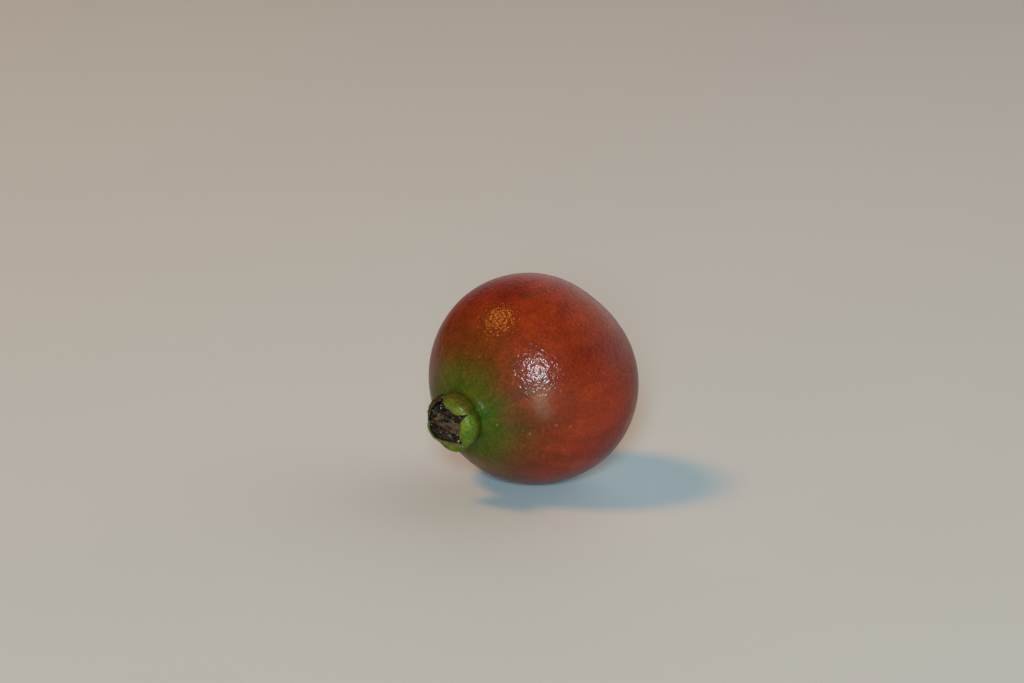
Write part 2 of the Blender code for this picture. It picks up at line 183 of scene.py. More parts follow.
def filletOutline():
    c, equator, end = crownForm, bodyForm["equatorRadius"], bodyForm["crownEndHeight"]
    outer = c["neckRadius"] + c["filletWidth"]
    share = outer / equator
    level = math.sqrt(1.0 - share ** 2)
    start = Vector((c["neckRadius"], c["tubeFoot"]))
    corner = Vector((c["neckRadius"], end * level + c["filletWidth"] * end * share / (equator * level)))
    finish = Vector((outer, end * level))
    outline = []
    for step in range(1, c["filletRings"] + 1):
        blend = step / (c["filletRings"] + 1)
        point = start.lerp(corner, blend).lerp(corner.lerp(finish, blend), blend)
        outline.append((point.x, point.y, 0.0, 0.0))
    return outline


def lobeAt(clock):    # the lobe there, how far across it that is, its free length and its curl
    for number, lobe in enumerate(calyxLobes):
        turn = (clock - lobe["start"]) % 360.0
        if turn < lobe["span"]:
            across = 2.0 * turn / lobe["span"] - 1.0
            before, after = calyxLobes[number - 1], calyxLobes[(number + 1) % len(calyxLobes)]
            notch = lobe["notch"] + (after["notch"] - lobe["notch"]) * (across + 1.0) / 2.0
            hump = math.sqrt(1.0 - abs(across) ** crownForm["squareness"])
            ragged = noise.noise((turn * 0.16, number * 9.0, 0.0))
            ragged += 0.6 * noise.noise((turn * 0.45, number * 9.0, 5.0))
            reach = notch + (lobe["length"] - notch + crownForm["raggedEdge"] * ragged) * hump
            beside = after["curl"] if across > 0.0 else before["curl"]
            curl = lobe["curl"] + (beside - lobe["curl"]) * 0.5 * abs(across) ** 3
            return lobe, across, reach, curl


def grooveAt(clock):
    nearest = min(abs((clock - lobe["start"] + 180.0) % 360.0 - 180.0) for lobe in calyxLobes)
    return crownForm["grooveDepth"] * math.exp(-(nearest / crownForm["grooveHalfWidth"]) ** 2)


def wallOutline(clock):
    c = crownForm
    lobe, across, reach, curl = lobeAt(clock)
    groove = grooveAt(clock)
    outside, inside, edge = [], [], []
    for step in range(c["tubeRings"]):
        share = step / c["tubeRings"]
        height = c["tubeFoot"] + (c["shoulderHeight"] - c["tubeFoot"]) * share
        radius = c["shoulderRadius"] - (c["shoulderRadius"] - c["neckRadius"]) * (1.0 - share) ** 2
        outside.append((radius - groove, height, 0.0, 0.0))
    for step in range(c["cupRings"]):
        height = c["cupFloor"] + (c["shoulderHeight"] - c["cupFloor"]) * step / c["cupRings"]
        inside.append((c["shoulderRadius"] - c["wall"], height, 1.0, 0.0))
    for step in range(c["lobeRings"] + 1):
        share = step / c["lobeRings"]
        run = reach * share
        bend = run / curl
        radius = c["shoulderRadius"] - curl * (1.0 - math.cos(bend))
        height = c["shoulderHeight"] + curl * math.sin(bend)
        puff = lobe["puff"] * (1.0 - across ** 2) * math.sin(math.pi * min(1.0, run / lobe["length"]))
        out = puff - groove * (1.0 - share)
        thick = c["wall"] + (lobe["edge"] - c["wall"]) * run / lobe["length"]
        outside.append((radius + out * math.cos(bend), height + out * math.sin(bend), 0.0, share))
        inside.append((radius - thick * math.cos(bend), height - thick * math.sin(bend), 1.0, share))
    middle = Vector((outside[-1][0] + inside[-1][0], outside[-1][1] + inside[-1][1])) / 2.0
    half = Vector((outside[-1][0] - inside[-1][0], outside[-1][1] - inside[-1][1])) / 2.0
    onward = Vector((-half.y, half.x)) * c["edgeRoundness"]
    for step in range(1, c["edgeRings"] + 1):
        around = math.pi * step / (c["edgeRings"] + 1)
        point = middle - half * math.cos(around) + onward * math.sin(around)
        edge.append((point.x, point.y, 1.0 - step / (c["edgeRings"] + 1), 1.0))
    return inside + edge + outside[::-1]


def fruitOutline(clock):
    rings, cupRadius = crownForm["floorRings"], crownForm["shoulderRadius"] - crownForm["wall"]
    cupFloor = [(cupRadius * step / rings, crownForm["cupFloor"], 1.0, 0.0) for step in range(rings)]
    return cupFloor + wallOutline(clock) + filletOutline() + bodyOutline(clock) + stemEndOutline()


# Helpers for the meshes

def gridToTurn(columns, stations):    # a grid, and each point's column and place in the outline
    form = bmesh.new()
    bmesh.ops.create_grid(form, x_segments=columns, y_segments=stations - 1, size=1.0)
    places = [(round((vertex.co.x + 1.0) / 2.0 * columns) % columns,
               round((vertex.co.y + 1.0) / 2.0 * (stations - 1))) for vertex in form.verts]
    return form, places


def uneven(point, sizes):    # several sizes of soft lumps at a place
    return sum(height * noise.noise(point / size + Vector((size, 0.0, 0.0))) for size, height in sizes)


def smooth(value, low, high):
    share = max(0.0, min(1.0, (value - low) / (high - low)))
    return share * share * (3.0 - 2.0 * share)


def closeForm(form):    # closes seams and poles, faces outwards
    bmesh.ops.remove_doubles(form, verts=form.verts, dist=0.0005)
    bmesh.ops.recalc_face_normals(form, faces=form.faces)


def finishForm(form, name, place):    # laid down as an object at the origin
    bmesh.ops.transform(form, matrix=place, verts=form.verts)
    mesh = bpy.data.meshes.new(name)
    form.to_mesh(mesh)
    form.free()
    mesh.shade_smooth()
    piece = bpy.data.objects.new(name, mesh)
    bpy.context.scene.collection.objects.link(piece)
    return piece


def standFor(piece, node, material):    # a piece that takes a CAD node's place
    piece.data.materials.clear()
    piece.data.materials.append(material)
    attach(piece, "root")
    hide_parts(node)


# The fruit's skin, in one piece with the crown

def paintLobe(lobe, turn, height, inside, tip):    # how green, dry and tan a point of the crown is
    c = crownForm
    change = smooth(turn / lobe["span"], *c["drySpread"])
    dry = lobe["dryStart"] + (lobe["dryEnd"] - lobe["dryStart"]) * change
    climb = (height - c["tubeFoot"]) / (c["shoulderHeight"] - c["tubeFoot"])
    climb = max(0.0, min(1.0, climb)) + tip
    green = smooth(climb, lobe["greenFrom"], lobe["greenFrom"] + c["greenBorder"])
    green *= 1.0 - dry * (1.0 - 0.5 * tip)
    tan = lobe["tan"] * smooth(tip, c["tanBorder"], 1.0) * (1.0 - green * 0.3)
    return {"cupInside": inside, "lobeTip": tip, "lobeGreen": green, "lobeDry": dry, "lobeTan": tan}


def roughenSkin(form, layers):    # lumps of the skin, wrinkles of the lobes, crumbs of scar and cup
    s, c = stemScar, crownForm
    form.normal_update()
    moves = []
    for vertex in form.verts:
        wrinkle, inside = vertex[layers["wrinkle"]], vertex[layers["cupInside"]]
        corky = vertex.co.z < 0.0 and math.hypot(vertex.co.x, vertex.co.y) < s["corkRadius"]
        creases = ((0.9, wrinkle), (0.4, 0.5 * wrinkle), (s["crumbSize"], s["crumble"] * corky))
        height = uneven(vertex.co, bodyForm["lumps"]) * (1.0 - min(1.0, wrinkle / c["smoothBelow"]))
        height += uneven(vertex.co, creases)
        height += uneven(vertex.co, ((c["crumbSize"], c["crumble"] * inside),))
        moves.append(vertex.normal * height)
    for vertex, move in zip(form.verts, moves):
        vertex.co += move


def flattenUnder(form):    # the flat spot that the fruit lies on
    droop = math.radians(bodyForm["axisDroop"])
    down = Vector((-math.cos(droop), 0.0, math.sin(droop)))
    flat = max(vertex.co.dot(down) for vertex in form.verts) - bodyForm["flatDepth"]
    for vertex in form.verts:
        vertex.co -= down * max(0.0, vertex.co.dot(down) - flat)


def layDownIn(form, low, high):    # the matrix that lays the fruit's own frame down into a box
    droop = math.radians(bodyForm["axisDroop"])
    turn = Matrix((
        (0.0, -1.0, 0.0),
        (-math.sin(droop), 0.0, -math.cos(droop)),
        (math.cos(droop), 0.0, -math.sin(droop)),
    )).to_4x4() @ Matrix.Scale(0.001, 4)
    laid = [turn @ vertex.co for vertex in form.verts]
    offset = Vector((
        (low.x + high.x - min(p.x for p in laid) - max(p.x for p in laid)) / 2.0,
        (low.y + high.y - min(p.y for p in laid) - max(p.y for p in laid)) / 2.0,
        low.z - min(p.z for p in laid),
    ))
    return Matrix.Translation(offset) @ turn


def makeFruit():    # the skin, and the matrix that lays it down
    columns = bodyForm["columns"]
    clocks = [360.0 * column / columns for column in range(columns)]
    outlines = [fruitOutline(clock) for clock in clocks]
    lobes = [lobeAt(clock)[0] for clock in clocks]
    form, places = gridToTurn(columns, len(outlines[0]))
    names = ("cupInside", "lobeTip", "lobeGreen", "lobeDry", "lobeTan", "wrinkle")
    layers = {name: form.verts.layers.float.new(name) for name in names}
    flow = form.verts.layers.float_vector.new("flow")
    foot = crownForm["tubeFoot"]
    for vertex, (column, station) in zip(form.verts, places):
        radius, height, inside, tip = outlines[column][station]
        lobe, clock = lobes[column], clocks[column]
        vertex.co = ringPoint(radius, clock, height)
        paint = paintLobe(lobe, (clock - lobe["start"]) % 360.0, height, inside, tip)
        paint["wrinkle"] = lobe["wrinkle"] * smooth(height, foot, foot + crownForm["wrinkleFade"])
        for name, value in paint.items():
            vertex[layers[name]] = value
        stream = ringPoint(bodyForm["flowRadius"], clock, 0.0)
        vertex[flow] = Vector((stream.x, stream.y, bodyForm["flowStretch"] * height)) * 0.001
    closeForm(form)
    roughenSkin(form, layers)
    flattenUnder(form)
    layDown = layDownIn(form, *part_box("fruit"))
    return finishForm(form, "fruit_skin", layDown), layDown


# The dried flower that fills the cup

flowerDisc = {
    "columns": 150,
    "rings": 34,
    # radius and height of its outline, from its top to its bottom
    "outline": ((0.0, 16.95), (0.8, 17.0), (1.7, 17.3), (2.5, 17.3),
                (3.1, 16.9), (3.38, 16.3), (3.3, 15.8), (0.0, 15.75)),
    "topStretches": 4,        # so many stretches of the outline are the crumbly top
    "crumbs": ((0.55, 0.16), (0.24, 0.10)),    # their size and how high they stand
    "coveredStart": 350.0,    # the stretch under the two closing lobes lies lower
    "coveredSpan": 151.0,
    "coveredFade": 20.0,
    "coveredDrop": 0.40,
}


def dropAt(clock):    # how much lower the flower lies under the closing lobes
    d = flowerDisc
    turn = (clock - d["coveredStart"]) % 360.0
    middle = d["coveredSpan"] / 2.0
    edge = max(0.0, abs((turn - middle + 180.0) % 360.0 - 180.0) - middle) / d["coveredFade"]
    return d["coveredDrop"] * max(0.0, 1.0 - edge)


def makeDisc(layDown):
    d = flowerDisc
    columns, rings = d["columns"], d["rings"]
    corners = [Vector(point) for point in d["outline"]]
    form, places = gridToTurn(columns, rings + 1)
    for vertex, (column, ring) in zip(form.verts, places):
        along = ring / rings * (len(corners) - 1)
        start = min(int(along), len(corners) - 2)
        radius, height = corners[start].lerp(corners[start + 1], along - start)
        clock = 360.0 * column / columns
        if start < d["topStretches"]:
            height -= dropAt(clock)
            height += uneven(ringPoint(radius, clock, 0.0), d["crumbs"])
        vertex.co = ringPoint(radius, clock, height)
    closeForm(form)
    return finishForm(form, "flower_disc", layDown)


flowerStamens = {
    "seed": 7,
    "count": 300,
    "points": 8,
    "thickness": (0.03, 0.065),
    "taper": 0.6,
    "rootShift": 6.0,         # degrees off their even places
    "drift": 70.0,            # degrees that a stamen leans round at most
    "rootRadius": (2.0, 3.25),
    "rootHeight": 16.6,
    "tipRadius": (0.3, 2.9),
    "tipHeight": (17.35, 17.95),
    "tipSag": 0.3,
    "arch": (0.25, 0.35),     # how far the bend stands above the tip, near the root and further on
    # the stub of the style
    "styleClock": 40.0,
    "styleFoot": 16.7,
    "styleStep": (0.05, 0.25),
    "stylePoints": 5,
    "styleRadius": (0.22, 0.16),
}


def threadsForm(threads):    # tapering threads, each a list of points, a root and a tip radius
    curve = bpy.data.curves.new("threads", "CURVE")
    curve.dimensions = "3D"
    curve.bevel_depth = 1.0
    curve.bevel_resolution = 1
    curve.use_fill_caps = True
    for points, rootRadius, tipRadius in threads:
        spline = curve.splines.new("POLY")
        spline.points.add(len(points) - 1)
        for number, (point, knot) in enumerate(zip(points, spline.points)):
            knot.co = (*point, 1.0)
            knot.radius = rootRadius + (tipRadius - rootRadius) * number / (len(points) - 1)
    guide = bpy.data.objects.new("threads", curve)
    bpy.context.scene.collection.objects.link(guide)
    graph = bpy.context.evaluated_depsgraph_get()
    graph.update()
    mesh = bpy.data.meshes.new_from_object(guide.evaluated_get(graph))
    form = bmesh.new()
    form.from_mesh(mesh)
    bpy.data.objects.remove(guide)
    bpy.data.meshes.remove(mesh)
    closeForm(form)
    return form


def makeStamens(layDown):
    s, draw = flowerStamens, random.Random(flowerStamens["seed"])
    threads = []
    for number in range(s["count"]):
        clock = 360.0 * number / s["count"] + draw.uniform(-s["rootShift"], s["rootShift"])
        drift = draw.uniform(-s["drift"], s["drift"])
        rootRadius, tipRadius = draw.uniform(*s["rootRadius"]), draw.uniform(*s["tipRadius"])
        tipHeight = draw.uniform(*s["tipHeight"]) - dropAt(clock)
        root = ringPoint(rootRadius, clock, s["rootHeight"] - dropAt(clock))
        rise = ringPoint(rootRadius - 0.15, clock + 0.1 * drift, tipHeight + s["arch"][0])
        over = ringPoint((rootRadius + tipRadius) / 2.0, clock + 0.6 * drift, tipHeight + s["arch"][1])
        tip = ringPoint(tipRadius, clock + drift, tipHeight - draw.uniform(0.0, s["tipSag"]))
        thick = draw.uniform(*s["thickness"])
        points = geometry.interpolate_bezier(root, rise, over, tip, s["points"])
        threads.append((points, thick, thick * s["taper"]))
    outward, upward = s["styleStep"]
    style = [ringPoint(outward * step, s["styleClock"], s["styleFoot"] + upward * step)
             for step in range(s["stylePoints"])]
    threads.append((style, *s["styleRadius"]))
    return finishForm(threadsForm(threads), "flower_stamens", layDown)


flowerAnthers = {
    "seed": 8,
    "count": 700,
    "size": (0.05, 0.12),
    "spread": 3.1,
    "height": 17.35,
    "depth": 0.45,
    "dip": 0.25,              # they lie lower in the middle
    "wallCrumbs": 420,        # crumbs stuck to the cup's wall in its open stretch
    "wallReach": 0.85,        # how far up the lobes' inner faces they lie
    "dryEdge": 0.8,           # from here on they also lie on the edge of the dry lobe
    "sunk": 0.03,
}


def addCrumb(form, draw, point, size):    # one uneven crumb, turned at random
    stretch = Matrix.Diagonal((1.0, draw.uniform(0.7, 1.0), draw.uniform(0.5, 0.9), 1.0))
    roll = Matrix.Rotation(draw.uniform(0.0, math.pi), 4, "X")
    spin = Matrix.Rotation(draw.uniform(0.0, math.pi), 4, "Z")
    place = Matrix.Translation(point) @ roll @ spin @ stretch @ Matrix.Scale(size, 4)
    bmesh.ops.create_icosphere(form, subdivisions=1, radius=1.0, matrix=place)


def makeAnthers(layDown):
    a, draw = flowerAnthers, random.Random(flowerAnthers["seed"])
    form = bmesh.new()
    for number in range(a["count"]):
        clock, radius = draw.uniform(0.0, 360.0), a["spread"] * math.sqrt(draw.random())
        dip = a["dip"] * max(0.0, 1.0 - radius)
        height = a["height"] + a["depth"] * draw.random() - dropAt(clock) - dip
        addCrumb(form, draw, ringPoint(radius, clock, height), draw.uniform(*a["size"]))
    openStart = flowerDisc["coveredStart"] + flowerDisc["coveredSpan"]
    openSpan = 360.0 - flowerDisc["coveredSpan"]
    for number in range(a["wallCrumbs"]):
        clock = openStart + draw.random() * openSpan
        dry = lobeAt(clock)[0]["dryEnd"] == 1.0
        wall = wallOutline(clock)[crownForm["cupRings"]:]
        spots = [(radius, height) for radius, height, inside, tip in wall
                 if (inside == 1.0 and tip <= a["wallReach"]) or (dry and tip > a["dryEdge"])]
        radius, height = draw.choice(spots)
        addCrumb(form, draw, ringPoint(radius - a["sunk"], clock, height), draw.uniform(*a["size"]))
    return finishForm(form, "flower_anthers", layDown)


flowerStraps = {
    "rows": 26,
    "columns": 10,
    # three points of radius, clock angle and height, width at each, thickness, curl
    "straps": (
        ((3.35, 265.0, 17.85), (0.8, 250.0, 18.35), (2.6, 108.0, 17.40), (0.22, 0.75, 2.5), 0.09, 0.14),
        ((2.9, 272.0, 17.85), (1.6, 292.0, 18.15), (1.1, 341.0, 17.85), (0.25, 0.50, 0.30), 0.08, 0.08),
        ((3.0, 285.0, 17.6), (2.75, 296.0, 18.05), (2.3, 310.0, 17.6), (0.35, 0.65, 0.40), 0.08, 0.12),
    ),
    "torn": 0.35,             # how far the wide end is torn back
    "endWidth": 0.3,          # share of the width that the ends keep
    "unevenWidth": 0.15,
    "unevenSag": 0.07,
    "grainStretch": 0.3,      # below 1 the fibres run along the strap
}


def sortFaces(form):    # solidify leaves the faces of a rim in a new order each run
    form.verts.index_update()
    count = len(form.verts)
    for face in form.faces:
        numbers = [vertex.index for vertex in face.verts]
        face.index = min(numbers) * count + max(numbers)
    form.faces.sort(key=lambda face: face.index)


def makeStraps(layDown):
    s, whole = flowerStraps, bmesh.new()
    for start, middle, end, widths, thick, curl in s["straps"]:
        form = bmesh.new()
        bmesh.ops.create_grid(form, x_segments=s["rows"], y_segments=s["columns"], size=1.0)
        grain = form.verts.layers.float_vector.new("grain")
        a, b, c = (ringPoint(*point) for point in (start, middle, end))
        odd = widths[1]    # makes each strap uneven in its own way
        for vertex in form.verts:
            share, side = (vertex.co.x + 1.0) / 2.0, vertex.co.y
            share *= 1.0 - s["torn"] * share ** 3 * abs(noise.noise((side * 3.7, odd * 7.0, 0.0)))
            first, second = a.lerp(b, share), b.lerp(c, share)
            path = first.lerp(second, share)
            onward = (second - first).normalized()
            across = onward.cross(Vector((0.0, 0.0, 1.0))).normalized()
            near = widths[0] + (widths[1] - widths[0]) * share
            far = widths[1] + (widths[2] - widths[1]) * share
            ends = min(1.0, 8.0 * share + s["endWidth"], 8.0 * (1.0 - share) + s["endWidth"])
            half = (near + (far - near) * share) / 2.0 * ends
            half *= 1.0 + s["unevenWidth"] * noise.noise((share * 6.0, side, odd * 9.0))
            sag = curl * side * side + s["unevenSag"] * noise.noise((share * 5.0, side * 1.5, odd * 5.0))
            fibre = s["grainStretch"] * share * (c - a).length
            vertex[grain] = Vector((fibre, half * side, odd * 9.0)) * 0.001
            vertex.co = path + across * half * side - Vector((0.0, 0.0, sag))
        bmesh.ops.recalc_face_normals(form, faces=form.faces)
        bmesh.ops.solidify(form, geom=form.verts[:] + form.edges[:] + form.faces[:], thickness=thick)
        bmesh.ops.recalc_face_normals(form, faces=form.faces)
        sortFaces(form)
        mesh = bpy.data.meshes.new("strap")
        form.to_mesh(mesh)
        form.free()
        whole.from_mesh(mesh)
        bpy.data.meshes.remove(mesh)
    return finishForm(whole, "flower_straps", layDown)


flowerScrapsAndGlint = {
    "seed": 9,
    # radius, clock angle, height and size; the second is a pale bit put where a glint shows, a painted
    # highlight
    "scraps": ((2.85, 143.0, 17.95, 0.19), (2.45, 337.0, 17.95, 0.13),
               (2.95, 302.0, 18.0, 0.08), (3.3, 258.0, 18.05, 0.08)),
    "rounding": 0.4,
    "roughness": 0.5,
}


def makeScrapsAndGlint(layDown):
    s, draw, form = flowerScrapsAndGlint, random.Random(flowerScrapsAndGlint["seed"]), bmesh.new()
    for radius, clock, height, size in s["scraps"]:
        addCrumb(form, draw, ringPoint(radius, clock, height), size)
    bmesh.ops.subdivide_edges(form, edges=form.edges, cuts=1, use_grid_fill=True,
                              smooth=s["rounding"], fractal=s["roughness"])
    return finishForm(form, "flower_scraps_and_glint", layDown)


# Helpers for the materials

def addNode(tree, kind, inputs, **settings):
    new = tree.nodes.new("ShaderNode" + kind)
    for name, value in settings.items():
        setattr(new, name, value)
    for name, value in inputs.items():
        if isinstance(value, bpy.types.NodeSocket):
            tree.links.new(value, new.inputs[name])
        else:
            new.inputs[name].default_value = value
    return new


def newMaterial(name):
    material = bpy.data.materials.new(name)
    material.use_nodes = True
    return material, material.node_tree, material.node_tree.nodes["Principled BSDF"]


def objectPlace(tree):
    return addNode(tree, "TexCoord", {}).outputs["Object"]


def attributeOf(tree, name, kind="Fac"):
    return addNode(tree, "Attribute", {}, attribute_name=name, attribute_type="GEOMETRY").outputs[kind]


def calc(tree, operation, first, second, clamp=False):
    return addNode(tree, "Math", {0: first, 1: second}, operation=operation, use_clamp=clamp).outputs[0]


def cloud(tree, place, size, detail=2.0, roughness=0.5):    # soft noise, size in mm
    inputs = {"Vector": place, "Scale": 1000.0 / size, "Detail": detail, "Roughness": roughness}
    return addNode(tree, "TexNoise", inputs).outputs["Fac"]


def cells(tree, place, size):    # cells of a size in mm
    return addNode(tree, "TexVoronoi", {"Vector": place, "Scale": 1000.0 / size}).outputs


def rangeOf(tree, value, low, high, toLow=0.0, toHigh=1.0):
    inputs = {"Value": value, "From Min": low, "From Max": high, "To Min": toLow, "To Max": toHigh}
    return addNode(tree, "MapRange", inputs, interpolation_type="SMOOTHSTEP").outputs["Result"]


def blendColour(tree, share, first, second, mode="MIX"):
    new = addNode(tree, "Mix", {}, data_type="RGBA", blend_type=mode)
    for socket, value in ((new.inputs[0], share), (new.inputs[6], first), (new.inputs[7], second)):
        if isinstance(value, bpy.types.NodeSocket):
            tree.links.new(value, socket)
        elif socket.type == "VALUE":
            socket.default_value = value
        else:
            socket.default_value = (*value, 1.0)
    return new.outputs[2]


def shaded(tree, colour, shade):    # a colour made darker or paler by a pattern
    tone = addNode(tree, "CombineColor", {0: shade, 1: shade, 2: shade}).outputs[0]
    return blendColour(tree, 1.0, colour, tone, "MULTIPLY")


def colourRamp(tree, value, stops):
    new = addNode(tree, "ValToRGB", {"Fac": value})
    elements = new.color_ramp.elements
    while len(elements) < len(stops):
        elements.new(0.5)
    for element, (position, colour) in zip(elements, stops):
        element.position = position
        element.color = (*colour, 1.0)
    return new.outputs["Color"]


def awayFrom(tree, place, point):    # distance from a point, in metres
    return addNode(tree, "VectorMath", {0: place, 1: point}, operation="DISTANCE").outputs["Value"]


def addBump(tree, height, distance, strength):
    inputs = {"Strength": strength, "Distance": distance, "Height": height}
    return addNode(tree, "Bump", inputs).outputs["Normal"]


skinLook = {
    "zoneMiddle": (1.8, 236.0, 13.9),    # radius, clock angle and height of the middle of the green
    # distance from that middle in mm, and the colour there
    "zones": ((4.0, (0.047, 0.076, 0.006)), (6.0, (0.073, 0.070, 0.005)),
              (7.5, (0.089, 0.058, 0.005)), (8.5, (0.100, 0.047, 0.005)),
              (9.5, (0.118, 0.038, 0.005)), (11.0, (0.147, 0.031, 0.005)),
              (13.5, (0.180, 0.026, 0.005)), (17.0, (0.214, 0.022, 0.005)),
              (21.0, (0.222, 0.018, 0.005)), (30.0, (0.200, 0.016, 0.005))),
    # patterns: size in mm, how far they move the zones' borders in metres, darkest and palest shade
    "streakSize": 1.1,
    "streakShift": 0.0030,
    "streakShade": (0.86, 1.12),
    "broadSize": 7.0,
    "broadShift": 0.0050,
    "mediumSize": 1.6,
    "mediumShift": 0.0020,
    "mediumShade": (0.88, 1.10),
    "fineSize": 0.40,
    "fineShade": (0.84, 1.14),
    "redFrom": (0.0120, 0.0170),    # where the red begins and is full, in metres from the middle
    "orangeRed": (0.258, 0.028, 0.005),
    "orangeSize": 10.0,   # patches of another red, in mm
    "deepRed": (0.148, 0.011, 0.004),
    "deepSize": 4.0,
    "deepShare": 0.50,
    # single marks, some of them painted light: clock angle, angle from the crown, radius in mm, colour,
    # strength
    "marks": (
        # painted light: the mark at clock angle 88 here and the one at 97 below make the red paler where
        # floor light falls on the lower right
        (88.0, 86.0, 4.5, (0.330, 0.030, 0.005), 0.50), (82.0, 12.0, 3.0, (0.032, 0.078, 0.005), 0.90),
        (97.0, 71.0, 5.0, (0.330, 0.036, 0.006), 0.45),
        (191.0, 32.0, 1.8, (0.210, 0.080, 0.040), 0.50), (203.0, 28.0, 1.2, (0.210, 0.080, 0.040), 0.45),
        (311.0, 22.0, 2.8, (0.100, 0.074, 0.008), 0.55), (165.0, 38.0, 2.2, (0.120, 0.085, 0.010), 0.40),
        # painted reflection: these two pale patches stand in for the window's reflection below its
        # highlight
        (74.5, 46.0, 1.9, (0.330, 0.140, 0.070), 0.48), (86.0, 46.5, 1.6, (0.300, 0.120, 0.060), 0.32),
        (16.0, 81.0, 1.0, (0.110, 0.040, 0.008), 0.40), (14.0, 77.0, 0.9, (0.110, 0.040, 0.008), 0.40),
        (19.0, 85.0, 0.8, (0.110, 0.040, 0.008), 0.35), (16.0, 61.0, 0.45, (0.110, 0.055, 0.010), 0.55),
        # painted reflection: the pale specks at clock angles 96, 98 and 103 are painted speckles of the
        # window's reflection
        (74.0, 85.0, 0.40, (0.130, 0.080, 0.012), 0.45), (103.0, 38.0, 0.30, (0.330, 0.210, 0.160), 0.40),
        (98.0, 60.0, 0.22, (0.330, 0.120, 0.080), 0.45), (97.0, 20.0, 0.17, (0.300, 0.330, 0.100), 0.60),
        (13.0, 34.0, 0.30, (0.280, 0.130, 0.100), 0.35), (96.0, 52.0, 0.28, (0.330, 0.150, 0.110), 0.40),
        (37.0, 25.0, 0.50, (0.020, 0.022, 0.006), 0.50),
    ),
    "dotSpacing": 1.5,    # pale dots, strongest on the green and the olive skin
    "dotRadius": (0.05, 0.10),
    "dotStrength": 0.45,
    "dotColour": (0.20, 0.19, 0.04),
    "dotFade": (0.008, 0.012),    # where the dots fade, in metres from the middle of the green
    "redDots": 0.25,      # share of their strength that they keep on the red
    "lobeGreens": ((0.076, 0.122, 0.012), (0.146, 0.172, 0.014)),
    "lobeShade": (0.74, 1.12),
    "lobeBrowns": ((0.022, 0.014, 0.005), (0.100, 0.066, 0.010)),
    "lobeTan": (0.130, 0.070, 0.032),
    "cupBrowns": ((0.007, 0.005, 0.004), (0.040, 0.024, 0.012)),
    "corkBrowns": ((0.140, 0.075, 0.036), (0.340, 0.215, 0.125)),
    "corkHeight": 0.4,              # middle of the scar above the body's end, in mm
    "corkEdge": (0.0019, 0.0025),
    "pitEdge": (0.0006, 0.0012),
    "pitShade": 0.35,
    "pebble": 0.50,       # size of the pebbling in mm
    "baseRelief": 0.00003,
    "coatRelief": 0.00011,
    "lobeRelief": 0.6,    # share of the relief on the lobes
    "roughness": 0.45,
    "dullRoughness": 0.75,
    "specular": 0.04,
    "coat": 0.44,
    "coatRoughness": 0.19,
    "glossFrom": (0.0055, 0.0090),    # the green skin and the lobes have less gloss
    "greenGloss": 0.20,
}


